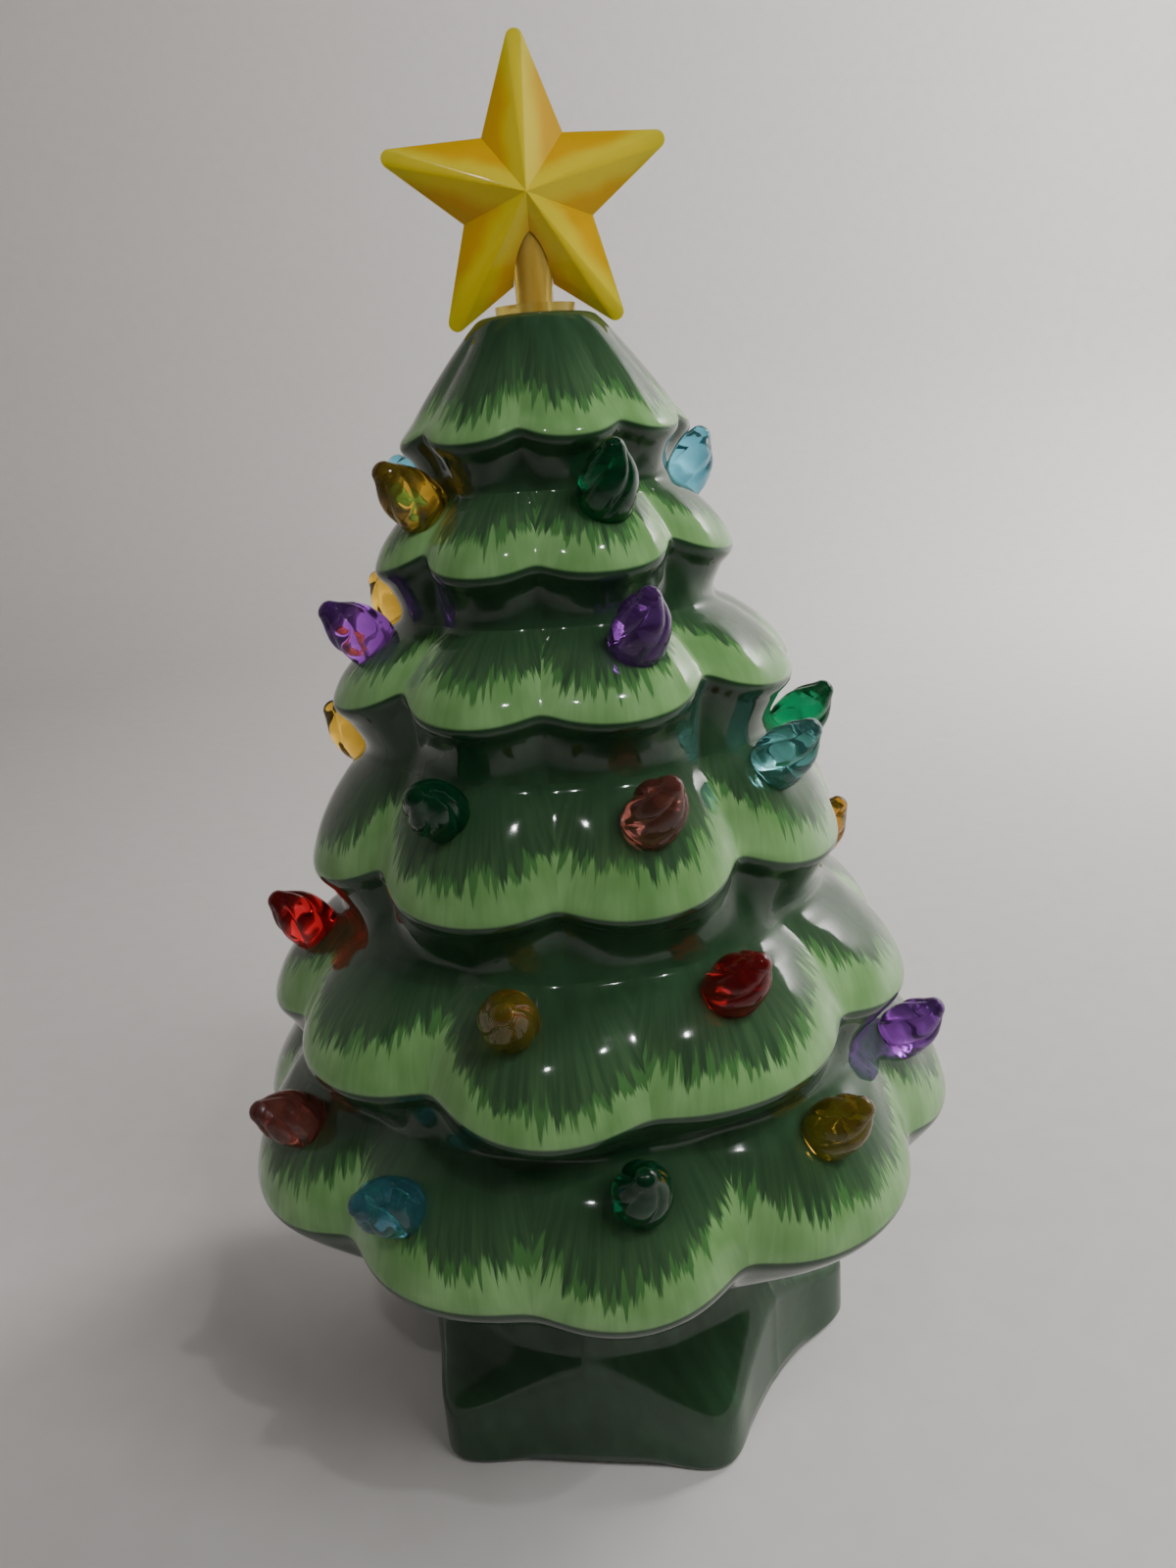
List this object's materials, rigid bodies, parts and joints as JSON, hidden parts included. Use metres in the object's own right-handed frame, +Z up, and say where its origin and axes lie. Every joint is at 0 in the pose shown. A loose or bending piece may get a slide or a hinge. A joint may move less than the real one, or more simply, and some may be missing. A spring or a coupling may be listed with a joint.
{
  "type": "ceramic christmas tree",
  "caption": "Hollow glazed ceramic tree with tiers of scalloped boughs, flame bulbs, a lift-off star, a toed foot and a pull-out light unit with battery cover and switch.",
  "frame": {"origin": "centre of the foot's underside, on the table", "axes": "+Z up along the trunk's axis; the side seen in the picture faces -Y"},
  "size_m": [0.1252, 0.1268, 0.2294],
  "materials": {
    "green_glaze": "glossy glaze, dark green with brushed light green tips",
    "bulb_gold": "clear glossy moulding",
    "bulb_amber": "clear glossy moulding",
    "bulb_dark_green": "clear glossy moulding",
    "bulb_green": "clear glossy moulding",
    "bulb_light_blue": "clear glossy moulding",
    "bulb_blue": "clear glossy moulding",
    "bulb_teal": "clear glossy moulding",
    "bulb_red": "clear glossy moulding",
    "bulb_salmon": "clear glossy moulding",
    "bulb_purple": "clear glossy moulding",
    "star_amber": "clear glossy moulding",
    "stem_amber": "clear glossy moulding",
    "housing_plastic": "matte",
    "soft_ring": "translucent silicone",
    "seal_rubber": "matte",
    "cell_steel": "bright",
    "contact_metal": "nickel plated",
    "board_laminate": "satin lacquer",
    "screw_steel": "zinc plated",
    "lamp_lens": "clear glossy moulding",
    "black_plastic": "matte",
    "resistor_lacquer": "lacquered",
    "slider_plastic": "satin",
    "dome_diffuser": "frosted"
  },
  "bodies": {
    "tree": {"ceramic_tree": "green_glaze", "bulb_row1_1": "bulb_gold", "bulb_row1_2": "bulb_dark_green", "bulb_row1_3": "bulb_light_blue", "bulb_row1_4": "bulb_red", "bulb_row1_5": "bulb_light_blue", "bulb_row2_1": "bulb_purple", "bulb_row2_2": "bulb_purple", "bulb_row2_3": "bulb_red", "bulb_row2_4": "bulb_gold", "bulb_row3_1": "bulb_gold", "bulb_row3_2": "bulb_dark_green", "bulb_row3_3": "bulb_salmon", "bulb_row3_4": "bulb_teal", "bulb_row3_5": "bulb_green", "bulb_row3_6": "bulb_purple", "bulb_row3_7": "bulb_red", "bulb_row4_1": "bulb_red", "bulb_row4_2": "bulb_gold", "bulb_row4_3": "bulb_red", "bulb_row4_4": "bulb_amber", "bulb_row4_5": "bulb_blue", "bulb_row4_6": "bulb_green", "bulb_row5_1": "bulb_salmon", "bulb_row5_2": "bulb_blue", "bulb_row5_3": "bulb_dark_green", "bulb_row5_4": "bulb_gold", "bulb_row5_5": "bulb_purple", "bulb_row5_6": "bulb_red", "bulb_row5_7": "bulb_blue", "bulb_row5_8": "bulb_gold"},
    "star": {"star_front": "star_amber", "star_back": "star_amber", "star_stem": "stem_amber"},
    "light_unit": {"light_base": "housing_plastic", "retaining_ring": "soft_ring", "coin_cell_lower": "cell_steel", "coin_cell_upper": "cell_steel", "negative_contact": "contact_metal", "positive_contact": "contact_metal", "circuit_board": "board_laminate", "board_screws": "screw_steel", "lamp_1": "lamp_lens", "lamp_2": "lamp_lens", "lamp_3": "lamp_lens", "timer_chip": "black_plastic", "resistor": "resistor_lacquer", "switch_body": "black_plastic", "light_dome": "dome_diffuser"},
    "battery_cover": {"battery_cover": "housing_plastic", "cover_seal": "seal_rubber"},
    "switch_slider": {"switch_slider": "slider_plastic"}
  },
  "joints": [
    {"name": "star_lift", "type": "slide", "parent": "tree", "child": "star", "axis": [0, 0, 1], "range_m": [0, 0.014]},
    {"name": "light_unit_pull", "type": "slide", "parent": "tree", "child": "light_unit", "axis": [0, 0, -1], "range_m": [0, 0.032]},
    {"name": "battery_cover_turn", "type": "hinge", "parent": "light_unit", "child": "battery_cover", "pos_m": [0, 0, 0.001], "axis": [0, 0, -1], "range_deg": [0, 40]},
    {"name": "switch_slide", "type": "slide", "parent": "light_unit", "child": "switch_slider", "axis": [0, 1, 0], "range_m": [0, 0.0024]}
  ]
}
